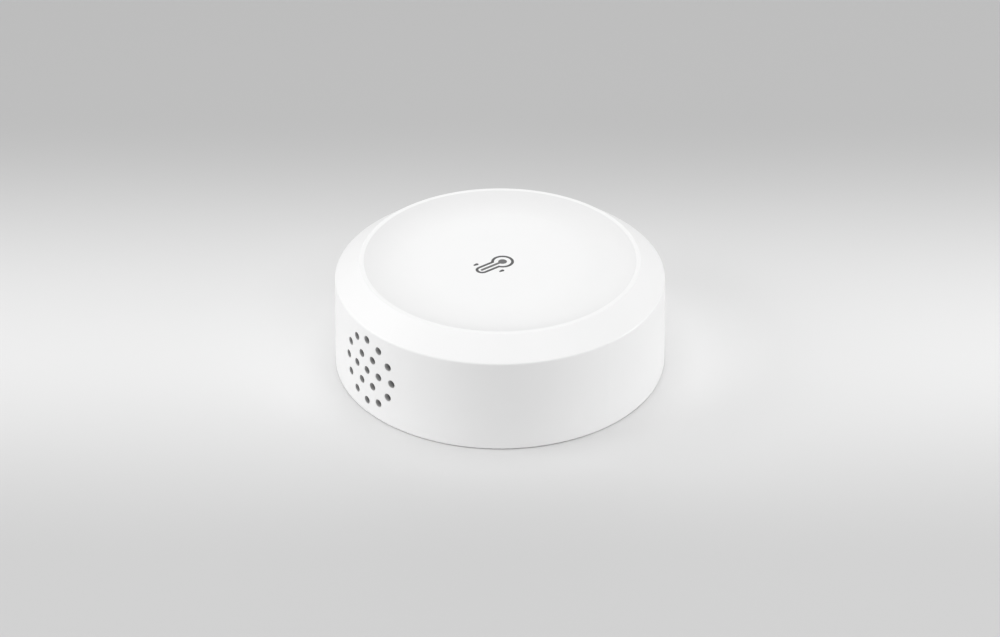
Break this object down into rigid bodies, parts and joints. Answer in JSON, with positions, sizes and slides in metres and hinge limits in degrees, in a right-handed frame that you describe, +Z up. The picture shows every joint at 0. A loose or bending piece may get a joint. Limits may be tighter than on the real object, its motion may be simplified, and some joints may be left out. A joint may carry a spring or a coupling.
{
  "type": "temperature humidity sensor",
  "caption": "Round white room sensor puck with a dished top, a thermometer mark, a round field of vent holes in its side, a twist-off base and a battery tray.",
  "frame": {"origin": "on the table below the middle of the puck, in the plane of the feet", "axes": "+Z up, -Y out through the middle of the vents, +X to the right seen from the vents"},
  "size_m": [0.061, 0.061, 0.0209],
  "materials": {
    "shell_plastic": "fine satin moulded white",
    "base_plastic": "fine satin moulded white",
    "foot_rubber": "matt soft grey",
    "foam": "matt fine-celled foam",
    "tray_plastic": "matt natural white",
    "cell_sleeve": "printed metallic sleeve",
    "contact_metal": "nickel plated",
    "spring_wire": "bright drawn wire",
    "screw_metal": "zinc plated",
    "main_board": "green solder mask",
    "radio_board": "blue solder mask",
    "shield_metal": "tinned sheet",
    "chip_black": "moulded black",
    "capacitor": "moulded ochre",
    "led_resin": "clear over white",
    "light_guide": "clear moulded",
    "header_black": "moulded black",
    "pin_brass": "gold-flashed brass",
    "switch_black": "moulded black",
    "button_plastic": "satin grey"
  },
  "bodies": {
    "housing": {"top_shell": "shell_plastic", "battery_tray": "tray_plastic", "tray_screws": "screw_metal", "battery_a": "cell_sleeve", "battery_b": "cell_sleeve", "positive_contact": "contact_metal", "negative_contact": "contact_metal", "bridge_contact": "contact_metal", "negative_spring": "spring_wire", "bridge_spring": "spring_wire", "main_board": "main_board", "board_screws": "screw_metal", "radio_module": "radio_board", "radio_shield": "shield_metal", "board_chips": "chip_black", "board_capacitor": "capacitor", "indicator_led": "led_resin", "light_guide": "light_guide", "sensor_board": "main_board", "sensor_chip": "chip_black", "header_body": "header_black", "header_pins": "pin_brass", "switch_body": "switch_black"},
    "base": {"base_cover": "base_plastic", "foot_pads": "foot_rubber", "battery_foam": "foam"},
    "button": {"pairing_button": "button_plastic", "switch_stem": "switch_black"}
  },
  "joints": [
    {"name": "base_twist", "type": "hinge", "parent": "housing", "child": "base", "pos_m": [0, 0, 0], "axis": [0, 0, -1], "range_deg": [0, 18]},
    {"name": "button_press", "type": "slide", "parent": "housing", "child": "button", "axis": [0, 0, 1], "range_m": [0, 0.00025], "stiffness_N_per_m": 600, "springref_m": -0.0008}
  ]
}
